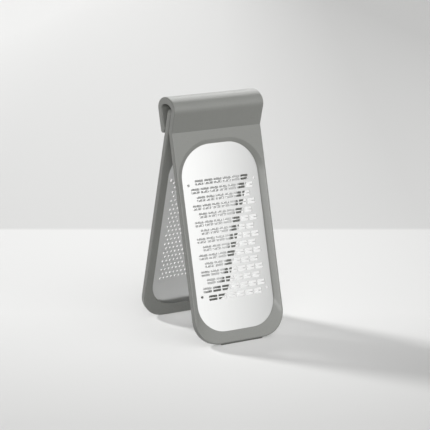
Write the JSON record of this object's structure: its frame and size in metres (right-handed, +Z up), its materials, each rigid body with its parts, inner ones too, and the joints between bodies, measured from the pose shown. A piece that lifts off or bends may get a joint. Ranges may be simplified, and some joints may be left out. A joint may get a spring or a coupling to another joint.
{
  "type": "paddle grater",
  "caption": "Kitchen grater made of a coarse paddle with a full-width hook and a fine paddle that rocks in it, standing open as an A-frame or folding flat.",
  "frame": {"origin": "on the surface that it stands on, at the centre of its bounding box", "axes": "+Z up, -Y towards the coarse paddle in front, X across the paddles"},
  "size_m": [0.1032, 0.1286, 0.2457],
  "materials": {
    "frame": "satin warm grey moulding",
    "plate": "satin stainless sheet",
    "foot": "matt dark soft strip"
  },
  "bodies": {
    "coarse_paddle": {"front_frame": "frame", "front_plate": "plate", "front_foot": "foot"},
    "fine_paddle": {"rear_frame": "frame", "rear_plate": "plate", "rear_foot": "foot"}
  },
  "joints": [
    {"name": "paddle_fold", "type": "hinge", "parent": "coarse_paddle", "child": "fine_paddle", "pos_m": [0, -0.0039, 0.21125], "axis": [-1, 0, 0], "range_deg": [0, 30.5]}
  ]
}
